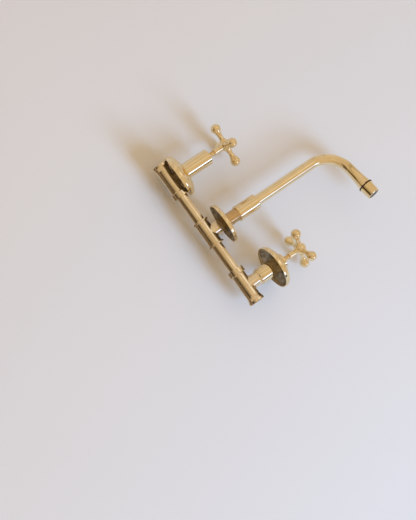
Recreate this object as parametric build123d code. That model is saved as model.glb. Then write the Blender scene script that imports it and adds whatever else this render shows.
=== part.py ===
from build123d import *
import os
from math import cos, sin, tan, radians

# Wall-mounted three-hole faucet: an in-wall body of three tees and two run tubes,
# a ceramic-disc valve with a cross handle at each end, and a long swivel spout between them.
# Millimetres. Origin: where the body axis meets the spout axis, inside the centre tee.
# +X runs along the body to the cold valve, -Y is out of the wall, towards the user, +Z is up.
# "Height" on a branch means the distance in front of the body axis, along -Y.

# Body
HANDLE_SPACING = 203.2
RUN_TUBE_OD = 18.0
RUN_TUBE_WALL = 1.5
SOCKET_DEPTH = 11.0
SPOUT_PORT_D = 14.0

# Valve tees
VALVE_TEE_LENGTH = 61.0
VALVE_BARREL_OD = 22.8
VALVE_BRANCH_OD = 22.0
VALVE_TEE_FILLET = 3.5
COLLAR_OD = 28.0
COLLAR_LENGTH = 10.5
COLLAR_BAND = 8.5
COLLAR_SPREAD = 60.0
MOUTH_OD = 26.8
MOUTH_LENGTH = 12.5
MOUTH_BAND = 4.0
MOUTH_SPREAD = 25.0
SLEEVE_SEAT_OD = 26.0
SLEEVE_SEAT_LENGTH = 6.0
SLEEVE_SEAT_BAND = 1.6
SLEEVE_SEAT_SPREAD = 45.0
INLET_THREAD_D = 18.6
INLET_THREAD_DEPTH = 14.0
VALVE_BRANCH_HEIGHT = 30.0
VALVE_BORE_D = 17.6
SEAT_HEIGHT = 2.0
SEAT_WALL = 2.0
SEAT_PORT_D = 8.6

# Centre tee
CENTRE_TEE_LENGTH = 46.0
CENTRE_BARREL_OD = 23.0
CENTRE_BRANCH_OD = 22.4
CENTRE_TEE_FILLET = 2.0
BEAD_OD = 27.6
BEAD_WIDTH = 3.2
BEAD_ROUND = 1.0
CENTRE_BRANCH_HEIGHT = 24.0
NIPPLE_THREAD_D = 17.8
NIPPLE_THREAD_LENGTH = 11.0

# Valve cartridge, from the seat outwards
SEAL_THICKNESS = 2.0
SEAL_WALL = 1.2
DISC_D = 13.8
DISC_THICKNESS = 2.5
DISC_WINDOW_ANGLE = 76.0
DISC_CENTRE_D = 4.0
LUG_WIDTH = 3.0
DRIVER_HEIGHT = 4.0
DRIVER_WIDTH = 4.0
TONGUE_DEPTH = 1.0
CARTRIDGE_WALL = 0.9
SIDE_PORT_WIDTH = 7.0
GASKET_THICKNESS = 1.5
GASKET_WALL = 2.2
HEX_ACROSS_FLATS = 19.6
HEX_HEIGHT = 5.5
HEADWORK_D = 16.5
NOSE_D = 13.0
CLIP_RECESS_D = 11.0
CLIP_RECESS_DEPTH = 2.2
CLIP_THICKNESS = 1.0
CLIP_WIDTH = 1.6
CLIP_GROOVE_DEPTH = 0.5
CLIP_MOUTH = 4.4
SPINDLE_D = 8.0
SPINDLE_SEAL_HEIGHT = 58.0
SPINDLE_SEAL_SECTION = 1.8
STEADY_RING_HEIGHT = 46.0

# Shroud
SHROUD_START = 26.5
SHROUD_LENGTH = 48.5
SHROUD_OD = 26.0
SHROUD_WALL = 1.3
SHROUD_FRONT = 3.0
SHROUD_EDGE_ROUND = 0.9
RIM_OD = 26.8
RIM_LENGTH = 2.0
RIM_FLARE = 2.0

# Cross handle
HANDLE_START = 87.0
HUB_HEIGHT = 110.6
HUB_D = 19.4
NECK_D = 9.2
NECK_TOP_D = 10.4
NECK_BEAD_D = 11.4
NECK_BEAD_LENGTH = 1.8
BALL_OUT = 30.0
BALL_D = 16.2
ARM_BLEND_ANGLE = 30.0
ARM_WAIST_D = 8.2
ARM_WAIST_OUT = 13.8
ARM_ROOT_D = 11.6
ARM_ROOT_OUT = 8.2
FACE_D = 18.2
FACE_FRONT = 6.0
FACE_ROUND = 1.8
CAP_RECESS_D = 10.4
CAP_RECESS_DEPTH = 4.0
CAP_DOME = 4.0
CAP_D = 14.0
SQUARE_SIDE = 5.6
SQUARE_LENGTH = 7.0
HUB_FLOOR = 1.5
SCREW_D = 4.0
SCREW_GRIP = 9.0
SCREW_HEAD_D = 7.2
SCREW_HEAD_HEIGHT = 2.4
SCREW_SLOT = 1.0
HOT_HANDLE_ANGLE = 45.0
COLD_HANDLE_ANGLE = 12.0

# Spout, its union and its outlet
NIPPLE_OD = 20.6
NIPPLE_COLLAR_OD = 21.4
NIPPLE_COLLAR_LENGTH = 8.0
UNION_START = 58.0
UNION_LENGTH = 39.0
UNION_OD = 25.2
UNION_FRONT = 4.0
UNION_BEAD_OD = 26.4
UNION_BEAD_LENGTH = 4.0
SPOUT_OD = 17.3
SPOUT_WALL = 1.2
SPOUT_CORNER = 253.8
SPOUT_BEND_RADIUS = 46.0
SPOUT_BEND_ANGLE = 86.0
SPOUT_LEG = 79.0
SPOUT_TURN = 10.0
SPOUT_FLARE_OD = 22.2
SPOUT_FLARE_LENGTH = 34.0
SPOUT_FLARE_SPREAD = 8.0
SPOUT_LIP_LENGTH = 1.6
TAIL_LENGTH = 14.0
TAIL_SEAL_SECTION = 1.1
TAIL_SEAL_COUNT = 2
WASHER_THICKNESS = 1.4
OUTLET_RING_OD = 25.0
OUTLET_RING_THICKNESS = 2.0
OUTLET_OD = 23.6
OUTLET_END_OD = 21.6
OUTLET_LENGTH = 18.6
OUTLET_CHAMFER = 0.6
OUTLET_WALL = 1.5
OUTLET_LIP = 1.4
OUTLET_SPIGOT_D = 15.6
OUTLET_SPIGOT_LENGTH = 7.0
INSERT_LENGTH = 11.0
INSERT_RIM = 1.4
INSERT_CENTRE_D = 8.0
INSERT_SLOTS = 12
INSERT_SLOT_WIDTH = 1.2

# Flanges that hang on the branches, square or leaning, and cover the holes in the wall
FLANGE_OD = 72.0
SPOUT_FLANGE_OD = 68.0
FLANGE_EDGE = 2.5
FLANGE_SHOULDER_INSET = 3.5
FLANGE_SHOULDER_RISE = 9.2
FLANGE_RISE = 16.0
SPOUT_FLANGE_SHOULDER_RISE = 7.0
SPOUT_FLANGE_RISE = 10.5
FLANGE_LAND = 1.6
FLANGE_WALL = 1.4
HOT_FLANGE_HEIGHT = 68.7
HOT_FLANGE_LEAN = 0.0
COLD_FLANGE_HEIGHT = 29.8
COLD_FLANGE_LEAN = 17.5
SPOUT_FLANGE_HEIGHT = 38.9
SPOUT_FLANGE_LEAN = 9.5

# Clearances, each on the radius or the length
SOLDER_GAP = 0.05
THREAD_GAP = 0.05
RUNNING_GAP = 0.05
SEAL_GAP = 0.02
DISC_GAP = 0.05
SLIDE_GAP = 1.2
END_PLAY = 0.3

# Heights of the valve stack, from the seat to the front of the shroud
SEAL_TOP = SEAT_HEIGHT + SEAL_THICKNESS
FIXED_DISC_TOP = SEAL_TOP + DISC_THICKNESS
MOVING_DISC_START = FIXED_DISC_TOP + DISC_GAP
MOVING_DISC_TOP = MOVING_DISC_START + DISC_THICKNESS
DRIVER_TOP = MOVING_DISC_TOP + DRIVER_HEIGHT
CAVITY_TOP = DRIVER_TOP + END_PLAY
GASKET_TOP = VALVE_BRANCH_HEIGHT + GASKET_THICKNESS
HEX_TOP = GASKET_TOP + HEX_HEIGHT
SHROUD_END = SHROUD_START + SHROUD_LENGTH
NOSE_TOP = SHROUD_END - SHROUD_EDGE_ROUND
HEADWORK_TOP = SHROUD_END - SHROUD_FRONT
SPINDLE_BORE_R = SPINDLE_D / 2 + RUNNING_GAP
CAVITY_R = DISC_D / 2 + END_PLAY
CAGE_R = CAVITY_R + CARTRIDGE_WALL
SHROUD_BORE_R = SHROUD_OD / 2 - SHROUD_WALL
WATERWAY_R = RUN_TUBE_OD / 2 - RUN_TUBE_WALL

# Heights inside the handle
FACE_TOP = HUB_HEIGHT + FACE_FRONT
CAP_SEAT = FACE_TOP - CAP_RECESS_DEPTH
HEAD_SEAT = CAP_SEAT - SCREW_HEAD_HEIGHT
SQUARE_TOP = HEAD_SEAT - HUB_FLOOR
SPINDLE_END = SQUARE_TOP - END_PLAY
SQUARE_START = SPINDLE_END - SQUARE_LENGTH

# Heights inside the union
UNION_END = UNION_START + UNION_LENGTH
UNION_BORE_R = NIPPLE_OD / 2 + THREAD_GAP
WASHER_TOP = UNION_END - UNION_FRONT
TAIL_END = WASHER_TOP - WASHER_THICKNESS - END_PLAY
TAIL_START = TAIL_END - TAIL_LENGTH
NIPPLE_END = TAIL_START - END_PLAY
TAIL_R = UNION_BORE_R - RUNNING_GAP

BASE = (Align.CENTER, Align.CENTER, Align.MIN)


def branch(x=0.0):
    """The frame of a branch at x: its own +Z points out of the wall, its +X along the body."""
    return Plane(origin=(x, 0, 0), x_dir=(1, 0, 0), z_dir=(0, -1, 0))


def rod(diameter, start, end):
    """A round bar on the local Z axis, between two heights."""
    return Pos(0, 0, start) * Cylinder(diameter / 2, end - start, align=BASE)


def ring(outer_r, inner_r, start, end):
    """A plain ring on the local Z axis, between two heights."""
    return rod(2 * outer_r, start, end) - rod(2 * inner_r, start - 1, end + 1)


def turned(*edges):
    """A piece turned on a lathe: the closed half outline, in the local XZ plane, spun about Z."""
    return revolve(make_face(Wire(list(edges))), Axis.Z)


def outline(*corners):
    """Straight edges through (radius, height) corners, for turned."""
    points = [(radius, 0, height) for radius, height in corners]
    return Polyline(*points).edges()


def cap_of_ball(diameter, rise, height):
    """A low dome: the part of a ball that stands this far above a height, over this diameter."""
    ball_r = (diameter ** 2 / 4 + rise ** 2) / (2 * rise)
    ball = Pos(0, 0, height + rise - ball_r) * Sphere(ball_r)
    return ball & rod(diameter, height, height + 2 * rise)


def front_rounded(solid, radius):
    """Round the outer edge at the front end of a turned piece."""
    circles = solid.edges().filter_by(GeomType.CIRCLE)
    return fillet(circles.group_by(Axis.Z)[-1].sort_by(SortBy.LENGTH)[-1], radius)


def flared_end(tube_d, lip_d, length, band, spread):
    """A tube's end that widens to this angle below a plain band, solid, up to the local Z = 0."""
    foot = (tube_d / 2, 0, -length)
    lip = (lip_d / 2, 0, -band)
    return turned(
        Line((0, 0, -length), foot),
        Spline(foot, lip, tangents=[(0, 0, 1), (tan(radians(spread)), 0, 1)]),
        *outline((lip_d / 2, -band), (lip_d / 2, 0), (0, 0), (0, -length)),
    )


def along_body(solid):
    """Lay a piece made on the local Z axis along the body, +Z to +X."""
    return Rot(0, 90, 0) * solid


# Body

def tee_blank(barrel_d, length, branch_d, branch_height, joint_round):
    """The cast outside of a tee: a barrel along the body and a branch, with a rounded joint."""
    blank = along_body(rod(barrel_d, -length / 2, length / 2))
    blank += branch() * rod(branch_d, 0, branch_height)
    joint = [edge for edge in blank.edges() if edge.geom_type not in (GeomType.LINE, GeomType.CIRCLE)]
    return fillet(joint, joint_round)


def socket(length):
    """The counterbore that a run tube is soldered into, at a tee's -X end."""
    return along_body(rod(RUN_TUBE_OD + 2 * SOLDER_GAP, -length / 2 - 1, SOCKET_DEPTH - length / 2))


def valve_tee_blank():
    """The outside of a valve tee: wide at its inlet, at its socket and where the sleeve sits."""
    half = VALVE_TEE_LENGTH / 2
    size = (VALVE_BARREL_OD, VALVE_TEE_LENGTH, VALVE_BRANCH_OD, VALVE_BRANCH_HEIGHT)
    mouth = (MOUTH_OD, MOUTH_LENGTH, MOUTH_BAND, MOUTH_SPREAD)
    collar = (COLLAR_OD, COLLAR_LENGTH, COLLAR_BAND, COLLAR_SPREAD)
    seat = (SLEEVE_SEAT_OD, SLEEVE_SEAT_LENGTH, SLEEVE_SEAT_BAND, SLEEVE_SEAT_SPREAD)
    blank = tee_blank(*size, VALVE_TEE_FILLET)
    blank += along_body(Pos(0, 0, half) * flared_end(VALVE_BARREL_OD, *mouth))
    blank += mirror(along_body(Pos(0, 0, half) * flared_end(VALVE_BARREL_OD, *collar)), Plane.YZ)
    seat_top = Pos(0, 0, SHROUD_START - RUNNING_GAP)
    return blank + branch() * seat_top * flared_end(VALVE_BRANCH_OD, *seat)


def valve_tee():
    """The cold tee about its own branch axis: the inlet is at +X, the run tube at -X.

    Inside it is a globe valve: the water comes in under the seat, goes up through the port
    and leaves over the seat.
    """
    half = VALVE_TEE_LENGTH / 2
    blank = valve_tee_blank()
    chamber_r = VALVE_BORE_D / 2
    under_seat = SEAT_HEIGHT - SEAT_WALL
    inlet = along_body(rod(2 * WATERWAY_R, chamber_r + SEAT_WALL, half))
    outlet = along_body(rod(2 * WATERWAY_R, -half, -chamber_r - SEAT_WALL))
    below = along_body(rod(2 * WATERWAY_R, -SEAT_PORT_D / 2, half))
    level = Box(2 * half, VALVE_BARREL_OD, VALVE_BARREL_OD, align=BASE)
    below &= branch() * Pos(0, 0, under_seat - VALVE_BARREL_OD) * level
    above = along_body(rod(2 * WATERWAY_R, -half, 0))
    above &= branch() * Pos(0, 0, SEAT_HEIGHT) * level
    chamber = branch() * rod(VALVE_BORE_D, SEAT_HEIGHT, VALVE_BRANCH_HEIGHT + 1)
    port = branch() * rod(SEAT_PORT_D, under_seat - 1, SEAT_HEIGHT + 1)
    thread = along_body(rod(INLET_THREAD_D, half - INLET_THREAD_DEPTH, half + 1))
    return blank - inlet - outlet - below - above - chamber - port - thread - socket(VALVE_TEE_LENGTH)


def centre_tee():
    """The tee that joins both run tubes and carries the spout's nipple, with a bead at each end."""
    half = CENTRE_TEE_LENGTH / 2
    size = (CENTRE_BARREL_OD, CENTRE_TEE_LENGTH, CENTRE_BRANCH_OD, CENTRE_BRANCH_HEIGHT)
    blank = tee_blank(*size, CENTRE_TEE_FILLET)
    bead = rod(BEAD_OD, half - BEAD_WIDTH, half)
    bead = along_body(fillet(bead.edges().filter_by(GeomType.CIRCLE), BEAD_ROUND))
    blank += bead + mirror(bead, Plane.YZ)
    run = along_body(rod(2 * WATERWAY_R, -half, half))
    drop = branch() * rod(SPOUT_PORT_D, 0, CENTRE_BRANCH_HEIGHT)
    thread_r = NIPPLE_THREAD_D / 2 + THREAD_GAP
    thread_start = CENTRE_BRANCH_HEIGHT - NIPPLE_THREAD_LENGTH - END_PLAY
    thread = branch() * rod(2 * thread_r, thread_start, CENTRE_BRANCH_HEIGHT + 1)
    left = socket(CENTRE_TEE_LENGTH)
    return blank - run - drop - thread - left - mirror(left, Plane.YZ)


def run_tube():
    """The tube between the centre tee and the cold valve tee, seated in both sockets."""
    start = CENTRE_TEE_LENGTH / 2 - SOCKET_DEPTH + SOLDER_GAP
    end = HANDLE_SPACING / 2 - VALVE_TEE_LENGTH / 2 + SOCKET_DEPTH - SOLDER_GAP
    return along_body(ring(RUN_TUBE_OD / 2, WATERWAY_R, start, end))


# Valve, on its branch axis

def seat_seal():
    """The rubber ring between the seat and the fixed disc."""
    outer = DISC_D / 2
    return ring(outer, outer - SEAL_WALL, SEAT_HEIGHT, SEAL_TOP)


def ceramic_disc(start):
    """A disc with two opposite windows: the pair is open when the windows of both discs meet."""
    disc = rod(DISC_D, start, start + DISC_THICKNESS)
    half_width = DISC_D * tan(radians(DISC_WINDOW_ANGLE / 2))
    wedge = make_face(Polyline((0, 0), (DISC_D, -half_width), (DISC_D, half_width), close=True))
    window = ring(DISC_D / 2 - SEAL_WALL, DISC_CENTRE_D / 2, start - 1, start + DISC_THICKNESS + 1)
    window &= Pos(0, 0, start - 1) * extrude(wedge, DISC_THICKNESS + 2)
    return disc - window - Rot(0, 0, 180) * window


def lugs(width, end):
    """A bar across the cage, from the seal to a height: the fixed disc's lugs, or their slots."""
    bar = Pos(0, 0, SEAL_TOP) * Box(width, 2 * CAGE_R, end - SEAL_TOP, align=BASE)
    return bar & rod(2 * CAGE_R, SEAL_TOP, end)


def fixed_disc():
    """The disc that stands still, held by two lugs in the cage's slots."""
    around = ring(CAGE_R + 1, DISC_D / 2 - SEAL_WALL / 2, SEAL_TOP, FIXED_DISC_TOP)
    return ceramic_disc(SEAL_TOP) + (lugs(LUG_WIDTH, FIXED_DISC_TOP) & around)


def moving_disc():
    """The turning disc, with a groove across its face that the spindle's tongue drives."""
    groove_width = DRIVER_WIDTH / 2
    groove = Box(groove_width, DISC_D, TONGUE_DEPTH + 1, align=BASE)
    return ceramic_disc(MOVING_DISC_START) - Pos(0, 0, MOVING_DISC_TOP - TONGUE_DEPTH) * groove


def cartridge_body():
    """The brass headwork: an open cage round the discs, the thread, the hexagon and the nose."""
    thread_r = VALVE_BORE_D / 2 - THREAD_GAP
    thread_start = CAVITY_TOP + SEAT_WALL
    body = rod(2 * CAGE_R, SEAL_TOP, thread_start)
    body += rod(2 * thread_r, thread_start, GASKET_TOP)
    hexagon = RegularPolygon(HEX_ACROSS_FLATS / 2, 6, major_radius=False)
    body += extrude(Pos(0, 0, GASKET_TOP) * hexagon, HEX_HEIGHT)
    body += rod(HEADWORK_D, HEX_TOP, HEADWORK_TOP)
    body += rod(NOSE_D, HEADWORK_TOP, NOSE_TOP)
    body -= rod(2 * CAVITY_R, SEAL_TOP - 1, CAVITY_TOP)
    body -= rod(2 * SPINDLE_BORE_R, SEAL_TOP, NOSE_TOP + 1)
    body -= rod(CLIP_RECESS_D, NOSE_TOP - CLIP_RECESS_DEPTH, NOSE_TOP + 1)
    port_height = CAVITY_TOP - MOVING_DISC_TOP
    port = Pos(0, 0, MOVING_DISC_TOP) * Box(2 * CAGE_R + 1, SIDE_PORT_WIDTH, port_height, align=BASE)
    slots = Pos(0, 0, -1) * lugs(LUG_WIDTH + 2 * THREAD_GAP, FIXED_DISC_TOP + 1 + THREAD_GAP)
    slots += lugs(LUG_WIDTH + 2 * THREAD_GAP, FIXED_DISC_TOP + THREAD_GAP)
    return body - port - slots


def body_gasket():
    """The flat gasket between the hexagon and the end of the branch."""
    inner = VALVE_BORE_D / 2 + SEAL_GAP
    return ring(inner + GASKET_WALL, inner, VALVE_BRANCH_HEIGHT, GASKET_TOP)


def spindle():
    """The stem: a driver with a tongue on its foot, seal and clip grooves, and a square end."""
    stem_r = SPINDLE_D / 2
    stem = rod(SPINDLE_D, DRIVER_TOP - DRIVER_HEIGHT / 2, SQUARE_START)
    driver = Pos(0, 0, MOVING_DISC_TOP + DISC_GAP)
    driver *= Box(DRIVER_WIDTH, DISC_D, DRIVER_HEIGHT - DISC_GAP, align=BASE)
    stem += driver & rod(DISC_D, MOVING_DISC_TOP, DRIVER_TOP)
    tongue_width = DRIVER_WIDTH / 2 - 2 * DISC_GAP
    tongue = Pos(0, 0, MOVING_DISC_TOP - TONGUE_DEPTH + DISC_GAP)
    tongue *= Box(tongue_width, DISC_D, TONGUE_DEPTH + DISC_GAP, align=BASE)
    stem += tongue & rod(DISC_D, MOVING_DISC_START, DRIVER_TOP)
    stem += Pos(0, 0, SQUARE_START) * Box(SQUARE_SIDE, SQUARE_SIDE, SQUARE_LENGTH, align=BASE)
    groove_r = stem_r + RUNNING_GAP - SEAL_GAP - SPINDLE_SEAL_SECTION
    half = SPINDLE_SEAL_SECTION / 2 + SEAL_GAP
    stem -= ring(stem_r + 1, groove_r - SEAL_GAP, SPINDLE_SEAL_HEIGHT - half, SPINDLE_SEAL_HEIGHT + half)
    clip_start = clip_height()
    stem -= ring(stem_r + 1, stem_r - CLIP_GROOVE_DEPTH, clip_start, clip_start + CLIP_THICKNESS)
    stem -= rod(SCREW_D + 2 * THREAD_GAP, SPINDLE_END - SCREW_GRIP - 1, SPINDLE_END + 1)
    return stem


def spindle_seal():
    """The O-ring in the spindle's groove, which also holds the handle where it is put."""
    section_r = SPINDLE_SEAL_SECTION / 2
    middle_r = SPINDLE_BORE_R - SEAL_GAP - section_r
    return Pos(0, 0, SPINDLE_SEAL_HEIGHT) * Torus(middle_r, section_r)


def clip_height():
    """Where the clip starts: just clear of the bottom of the recess in the nose."""
    return NOSE_TOP - CLIP_RECESS_DEPTH + END_PLAY


def spindle_clip():
    """The open spring clip that keeps the spindle from dropping into the body."""
    inner = SPINDLE_D / 2 - CLIP_GROOVE_DEPTH + SEAL_GAP
    start = clip_height() + SEAL_GAP
    clip = ring(inner + CLIP_WIDTH, inner, start, start + CLIP_THICKNESS - 2 * SEAL_GAP)
    opening = Box(SPINDLE_D, CLIP_MOUTH, CLIP_THICKNESS + 2, align=BASE)
    return clip - Pos(SPINDLE_D / 2, 0, start - 1) * opening


def steady_ring():
    """The rubber ring that centres the shroud on the headwork."""
    section_r = (SHROUD_BORE_R - HEADWORK_D / 2) / 2 - SEAL_GAP
    return Pos(0, 0, STEADY_RING_HEIGHT) * Torus(HEADWORK_D / 2 + SEAL_GAP + section_r, section_r)


def shroud():
    """The polished sleeve over the headwork, with a flared rim at its wall end."""
    rim_r = RIM_OD / 2
    tube_r = SHROUD_OD / 2
    rim_end = SHROUD_START + RIM_LENGTH
    flare_end = rim_end + RIM_FLARE
    shell = turned(
        *outline((0, SHROUD_START), (rim_r, SHROUD_START), (rim_r, rim_end)),
        Spline((rim_r, 0, rim_end), (tube_r, 0, flare_end), tangents=[(-1, 0, 0), (0, 0, 1)]),
        *outline((tube_r, flare_end), (tube_r, SHROUD_END), (0, SHROUD_END), (0, SHROUD_START)),
    )
    shell = front_rounded(shell, SHROUD_EDGE_ROUND)
    shell -= rod(2 * SHROUD_BORE_R, SHROUD_START - 1, HEADWORK_TOP)
    return shell - rod(NOSE_D + 2 * THREAD_GAP, SHROUD_START, SHROUD_END + 1)


# Cross handle

def handle_arm():
    """One arm of the cross, on the local Z axis: a waist, then a flank that swells into the ball."""
    ball_r = BALL_D / 2
    side = sin(radians(ARM_BLEND_ANGLE))
    along = cos(radians(ARM_BLEND_ANGLE))
    root = (ARM_ROOT_D / 2, 0, ARM_ROOT_OUT)
    waist = (ARM_WAIST_D / 2, 0, ARM_WAIST_OUT)
    blend = (ball_r * along, 0, BALL_OUT - ball_r * side)
    tip = (0, 0, BALL_OUT + ball_r)
    return turned(
        *outline((0, 0), (ARM_ROOT_D / 2, 0), (ARM_ROOT_D / 2, ARM_ROOT_OUT)),
        Spline(root, waist, blend, tangents=[(-1, 0, 2), (side, 0, along)]),
        ThreePointArc(blend, (ball_r, 0, BALL_OUT), tip),
        Line(tip, (0, 0, 0)),
    )


def handle_blank():
    """The outside of the cross handle: neck, hub, face and the four arms, not yet bored."""
    neck_r = NECK_D / 2
    bead_r = NECK_BEAD_D / 2
    hub_r = NECK_TOP_D / 2
    bead_top = HANDLE_START + NECK_BEAD_LENGTH
    neck_end = HUB_HEIGHT - HUB_D / 2
    blank = turned(*outline(
        (0, HANDLE_START), (bead_r, HANDLE_START), (bead_r, bead_top), (neck_r, bead_top),
        (hub_r, neck_end), (hub_r, HUB_HEIGHT), (0, HUB_HEIGHT), (0, HANDLE_START)))
    blank += (Pos(0, 0, HUB_HEIGHT) * Sphere(HUB_D / 2)) - rod(HUB_D, FACE_TOP, FACE_TOP + HUB_D)
    blank += front_rounded(rod(FACE_D, HUB_HEIGHT, FACE_TOP), FACE_ROUND)
    for quarter in range(4):
        blank += Pos(0, 0, HUB_HEIGHT) * Rot(0, 0, 90 * quarter) * Rot(0, 90, 0) * handle_arm()
    return blank


def cross_handle():
    """The cross handle, bored for the spindle and its square, the screw and the cap."""
    square = SQUARE_SIDE + 2 * RUNNING_GAP
    handle = handle_blank()
    handle -= rod(2 * SPINDLE_BORE_R, HANDLE_START - 1, SQUARE_START)
    handle -= Pos(0, 0, SQUARE_START - 1) * Box(square, square, SQUARE_TOP + 1 - SQUARE_START, align=BASE)
    handle -= rod(SCREW_D + 2 * END_PLAY, SQUARE_START, CAP_SEAT)
    handle -= rod(SCREW_HEAD_D + 2 * END_PLAY, HEAD_SEAT, CAP_SEAT + 1)
    return handle - rod(CAP_RECESS_D, CAP_SEAT, FACE_TOP + 1)


def handle_screw():
    """The slotted screw that holds the handle on the spindle."""
    screw = rod(SCREW_D, SPINDLE_END - SCREW_GRIP, HEAD_SEAT)
    screw += rod(SCREW_HEAD_D, HEAD_SEAT, HEAD_SEAT + SCREW_HEAD_HEIGHT)
    slot_depth = SCREW_HEAD_HEIGHT / 2
    slot_start = HEAD_SEAT + SCREW_HEAD_HEIGHT - slot_depth
    return screw - Pos(0, 0, slot_start) * Box(SCREW_HEAD_D + 1, SCREW_SLOT, slot_depth + 1, align=BASE)


def index_cap():
    """The plain domed cap in the front of the hub."""
    plug = rod(CAP_RECESS_D - 2 * THREAD_GAP, CAP_SEAT + END_PLAY, FACE_TOP)
    return plug + cap_of_ball(CAP_D, CAP_DOME, FACE_TOP)


# Spout

def spout_nipple():
    """The tube screwed into the centre tee, shouldered on its branch and threaded for the union."""
    start = CENTRE_BRANCH_HEIGHT - NIPPLE_THREAD_LENGTH
    nipple = rod(NIPPLE_THREAD_D, start, CENTRE_BRANCH_HEIGHT)
    nipple += rod(NIPPLE_COLLAR_OD, CENTRE_BRANCH_HEIGHT, CENTRE_BRANCH_HEIGHT + NIPPLE_COLLAR_LENGTH)
    nipple += rod(NIPPLE_OD, CENTRE_BRANCH_HEIGHT, NIPPLE_END)
    return nipple - rod(SPOUT_PORT_D, start - 1, NIPPLE_END + 1)


def union_sleeve():
    """The polished sleeve nut that holds the spout's tail against the nipple and lets it turn."""
    sleeve = front_rounded(rod(UNION_OD, UNION_START, UNION_END), SHROUD_EDGE_ROUND)
    bead = rod(UNION_BEAD_OD, UNION_START, UNION_START + UNION_BEAD_LENGTH)
    sleeve += fillet(bead.edges().filter_by(GeomType.CIRCLE), (UNION_BEAD_OD - UNION_OD) / 2)
    sleeve -= rod(2 * UNION_BORE_R, UNION_START - 1, WASHER_TOP)
    return sleeve - rod(SPOUT_OD + 2 * END_PLAY, UNION_START, UNION_END + 1)


def thrust_washer():
    """The slippery washer between the spout's tail and the front of the union."""
    return ring(UNION_BORE_R - SEAL_GAP, SPOUT_OD / 2 + END_PLAY, WASHER_TOP - WASHER_THICKNESS, WASHER_TOP)


def tail_seal_heights():
    """The heights of the O-rings on the spout's tail, evenly spaced."""
    step = TAIL_LENGTH / (TAIL_SEAL_COUNT + 1)
    return [TAIL_START + step * (place + 1) for place in range(TAIL_SEAL_COUNT)]


def spout_tail():
    """The collar brazed to the spout's end, which turns in the union, with its seal grooves."""
    tail = ring(TAIL_R, SPOUT_OD / 2 + SOLDER_GAP, TAIL_START, TAIL_END)
    floor_r = UNION_BORE_R - 2 * SEAL_GAP - TAIL_SEAL_SECTION
    half = TAIL_SEAL_SECTION / 2 + SEAL_GAP
    for height in tail_seal_heights():
        tail -= ring(TAIL_R + 1, floor_r, height - half, height + half)
    return tail


def tail_seals():
    """The O-rings in the grooves of the spout's tail."""
    section_r = TAIL_SEAL_SECTION / 2
    middle_r = UNION_BORE_R - SEAL_GAP - section_r
    rings = [Pos(0, 0, height) * Torus(middle_r, section_r) for height in tail_seal_heights()]
    return Compound(children=rings)


def spout_path():
    """The spout's centre line: straight out, one bend to the side and down the outlet leg."""
    setback = SPOUT_BEND_RADIUS * tan(radians(SPOUT_BEND_ANGLE / 2))
    out = Line((0, -TAIL_START, 0), (0, setback - SPOUT_CORNER, 0))
    bend = JernArc(out @ 1, (0, -1, 0), SPOUT_BEND_RADIUS, -SPOUT_BEND_ANGLE)
    leg = Line(bend @ 1, (bend @ 1) + (bend % 1) * (SPOUT_LEG - setback))
    return Wire([out, bend, leg])


def outlet_frame():
    """The frame at the end of the outlet leg: its own +Z points the way the water leaves."""
    path = spout_path()
    return Plane(origin=path @ 1, x_dir=(0, 0, 1), z_dir=path % 1)


def spout_tube():
    """The bent spout tube, with a flared socket at its outlet."""
    path = spout_path()
    start = Plane(origin=path @ 0, x_dir=(1, 0, 0), z_dir=path % 0)
    outside = sweep(start * Circle(SPOUT_OD / 2), path)
    inside = sweep(start * Circle(SPOUT_OD / 2 - SPOUT_WALL), path)
    size = (SPOUT_FLARE_OD, SPOUT_FLARE_LENGTH, SPOUT_LIP_LENGTH, SPOUT_FLARE_SPREAD)
    flare = flared_end(SPOUT_OD, *size)
    mouth_d = OUTLET_SPIGOT_D + 2 * THREAD_GAP
    mouth = outlet_frame() * rod(mouth_d, -OUTLET_SPIGOT_LENGTH - END_PLAY, 1)
    return outside + outlet_frame() * flare - inside - mouth


def outlet_ring():
    """The black rubber ring between the spout and the outlet."""
    return ring(OUTLET_RING_OD / 2, OUTLET_SPIGOT_D / 2 + SEAL_GAP, 0, OUTLET_RING_THICKNESS)


def insert_r():
    """Outer radius of the aerator insert, inside the outlet's narrow end."""
    return OUTLET_END_OD / 2 - OUTLET_WALL - THREAD_GAP


def outlet_housing():
    """The tapered outlet that screws into the spout and holds the aerator."""
    start = OUTLET_RING_THICKNESS
    end = start + OUTLET_LENGTH
    shell = turned(*outline(
        (0, start), (OUTLET_OD / 2, start), (OUTLET_END_OD / 2, end), (0, end), (0, start)))
    front = shell.edges().filter_by(GeomType.CIRCLE).group_by(Axis.Z)[-1]
    shell = chamfer(front, OUTLET_CHAMFER)
    shell += rod(OUTLET_SPIGOT_D, start - OUTLET_SPIGOT_LENGTH, start)
    shell -= rod(OUTLET_SPIGOT_D - 2 * SPOUT_WALL, start - OUTLET_SPIGOT_LENGTH - 1, end + 1)
    bore_start = end - OUTLET_LIP - INSERT_LENGTH
    return shell - rod(2 * (insert_r() + THREAD_GAP), bore_start, end + 1)


def aerator_insert():
    """The plastic core of the aerator: a slotted disc that lets air into the stream."""
    end = OUTLET_RING_THICKNESS + OUTLET_LENGTH - OUTLET_LIP
    core = rod(2 * insert_r(), end - INSERT_LENGTH, end)
    slots = ring(insert_r() - INSERT_RIM, INSERT_CENTRE_D / 2, end - INSERT_LENGTH - 1, end + 1)
    bars = Box(2 * OUTLET_OD, INSERT_SLOT_WIDTH, INSERT_LENGTH + 2, align=BASE)
    bars = Pos(0, 0, end - INSERT_LENGTH - 1) * bars
    for place in range(INSERT_SLOTS // 2):
        core -= slots & (Rot(0, 0, 360 / INSERT_SLOTS * place) * bars)
    return core


# Flanges

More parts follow.
